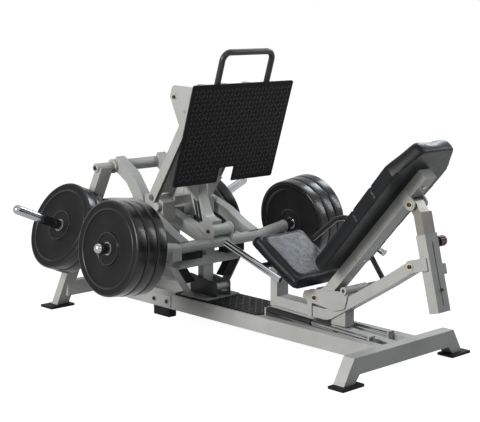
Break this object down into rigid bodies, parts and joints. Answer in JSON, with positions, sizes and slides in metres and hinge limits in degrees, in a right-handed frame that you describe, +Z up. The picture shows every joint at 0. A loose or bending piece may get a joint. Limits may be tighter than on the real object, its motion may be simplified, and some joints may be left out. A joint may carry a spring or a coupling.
{
  "type": "leg press machine",
  "caption": "Horizontal leg press with a seat carriage on rails, an adjustable backrest, a tread foot plate on push links and round weights on side horns.",
  "frame": {"origin": "on the floor, under the middle of the whole machine", "axes": "+X across the machine to the right of a seated user who faces +Y, +Y along the machine from the backrest to the foot plate, +Z up"},
  "size_m": [1.5826, 2.2802, 1.3709],
  "materials": {
    "frame_paint": "silver-grey satin powder coat",
    "dark_paint": "black powder coat",
    "tread_plate": "black, raised tread",
    "chrome": "polished",
    "zinc": "bronze-tinted washers with black heads",
    "plate_rubber": "satin black with glossy rims",
    "foot_rubber": "matt black",
    "vinyl": "black sheen upholstery vinyl",
    "black_plastic": "matt black",
    "knob_red": "maroon, ribbed",
    "board": "black board",
    "steel": "plain steel"
  },
  "bodies": {
    "frame": {"front_crossbar": "frame_paint", "floor_pads": "foot_rubber", "base_rails": "frame_paint", "joint_plates": "frame_paint", "frame_bolts": "zinc", "rubber_feet": "foot_rubber", "rear_uprights": "frame_paint", "top_pipe": "frame_paint", "pipe_sleeves": "frame_paint", "near_fixed_arm": "frame_paint", "far_fixed_arm": "frame_paint", "pivot_posts": "frame_paint", "centre_spine": "frame_paint", "stop_frame": "frame_paint", "stop_bumpers": "foot_rubber", "pivot_cheeks": "frame_paint", "floor_plate": "tread_plate", "storage_horns": "chrome", "seat_rails": "chrome", "rail_supports": "frame_paint", "pivot_pins": "steel"},
    "near_rear_weights": {"near_rear_plates": "plate_rubber"},
    "far_rear_weights": {"far_rear_plates": "plate_rubber"},
    "loading_beam": {"near_beam_arm": "frame_paint", "far_beam_arm": "frame_paint", "beam_pivot_tube": "frame_paint", "cross_tube": "frame_paint", "hub_ears": "frame_paint", "hub_pin": "zinc", "load_horns": "chrome"},
    "near_front_weights": {"near_front_plates": "plate_rubber"},
    "far_front_weights": {"far_front_plates": "plate_rubber"},
    "foot_carriage": {"foot_plate": "tread_plate", "foot_handle": "dark_paint", "side_brackets": "frame_paint", "press_strut": "frame_paint", "slot_plate": "dark_paint", "carrier_pins": "zinc"},
    "near_push_link": {"near_link": "frame_paint"},
    "far_push_link": {"far_link": "frame_paint"},
    "seat_carriage": {"carriage_frame": "frame_paint", "bearing_housings": "dark_paint", "seat_pad": "vinyl", "seat_board": "board", "seat_grip": "chrome", "grip_crossbar": "dark_paint", "pivot_bolts": "zinc"},
    "seat_latch": {"latch_pin": "steel"},
    "release_lever": {"seat_lever": "dark_paint", "lever_grip": "chrome"},
    "backrest": {"back_tube": "frame_paint", "back_cap": "black_plastic", "back_pad": "vinyl", "back_bolts": "zinc", "upper_pin": "zinc"},
    "sleeve": {"adjuster_sleeve": "frame_paint", "knob_base": "black_plastic"},
    "inner_tube": {"adjuster_inner": "chrome", "slot_ball": "steel"},
    "stop_knob": {"pull_knob": "knob_red"}
  },
  "joints": [
    {"name": "loading_beam_hinge", "type": "hinge", "parent": "frame", "child": "loading_beam", "pos_m": [0, 0.93611, 0.53], "axis": [-1, 0, 0], "range_deg": [0, 15]},
    {"name": "foot_carriage_hinge", "type": "hinge", "parent": "loading_beam", "child": "foot_carriage", "pos_m": [0, 0.25811, 0.469], "axis": [-1, 0, 0], "range_deg": [0, 17.5]},
    {"name": "near_link_hinge", "type": "hinge", "parent": "frame", "child": "near_push_link", "pos_m": [-0.132, 0.53911, 0.622], "axis": [-1, 0, 0], "range_deg": [0, 38]},
    {"name": "far_link_hinge", "type": "hinge", "parent": "frame", "child": "far_push_link", "pos_m": [0.132, 0.53911, 0.622], "axis": [-1, 0, 0], "range_deg": [0, 38]},
    {"name": "near_front_plates_slide", "type": "slide", "parent": "loading_beam", "child": "near_front_weights", "axis": [-0.9903, 0, 0.1392], "range_m": [0, 0.27]},
    {"name": "far_front_plates_slide", "type": "slide", "parent": "loading_beam", "child": "far_front_weights", "axis": [0.9903, 0, 0.1392], "range_m": [0, 0.27]},
    {"name": "near_rear_plates_slide", "type": "slide", "parent": "frame", "child": "near_rear_weights", "axis": [-0.9184, 0, 0.3955], "range_m": [0, 0.38]},
    {"name": "far_rear_plates_slide", "type": "slide", "parent": "frame", "child": "far_rear_weights", "axis": [0.9184, 0, 0.3955], "range_m": [0, 0.38]},
    {"name": "seat_carriage_slide", "type": "slide", "parent": "frame", "child": "seat_carriage", "axis": [0, -0.9991, -0.0432], "range_m": [0, 0.3]},
    {"name": "release_lever_hinge", "type": "hinge", "parent": "seat_carriage", "child": "release_lever", "pos_m": [0.232, -0.61889, 0.31], "axis": [1, 0, 0], "range_deg": [0, 8]},
    {"name": "latch_pin_slide", "type": "slide", "parent": "seat_carriage", "child": "seat_latch", "axis": [0, 0, 1], "range_m": [0, 0.0105]},
    {"name": "backrest_hinge", "type": "hinge", "parent": "seat_carriage", "child": "backrest", "pos_m": [0, -0.43789, 0.248], "axis": [1, 0, 0], "range_deg": [-9, 5]},
    {"name": "adjuster_sleeve_hinge", "type": "hinge", "parent": "seat_carriage", "child": "sleeve", "pos_m": [0, -0.98889, 0.477], "axis": [1, 0, 0], "range_deg": [-10.7, 6]},
    {"name": "adjuster_inner_slide", "type": "slide", "parent": "sleeve", "child": "inner_tube", "axis": [0, 0.2474, 0.9689], "range_m": [-0.052, 0.093]},
    {"name": "stop_knob_pull", "type": "slide", "parent": "sleeve", "child": "stop_knob", "axis": [1, 0, 0], "range_m": [0, 0.012], "stiffness_N_per_m": 700, "springref_m": -0.006}
  ],
  "couplings": [
    {"joint": "foot_carriage_hinge", "follows": "loading_beam_hinge", "ratio": 1.164},
    {"joint": "near_link_hinge", "follows": "loading_beam_hinge", "ratio": 2.528},
    {"joint": "far_link_hinge", "follows": "loading_beam_hinge", "ratio": 2.528},
    {"joint": "latch_pin_slide", "follows": "release_lever_hinge", "m_per_rad": 0.0716},
    {"joint": "adjuster_sleeve_hinge", "follows": "backrest_hinge", "ratio": 1.184},
    {"joint": "adjuster_inner_slide", "follows": "backrest_hinge", "m_per_rad": -0.583}
  ]
}
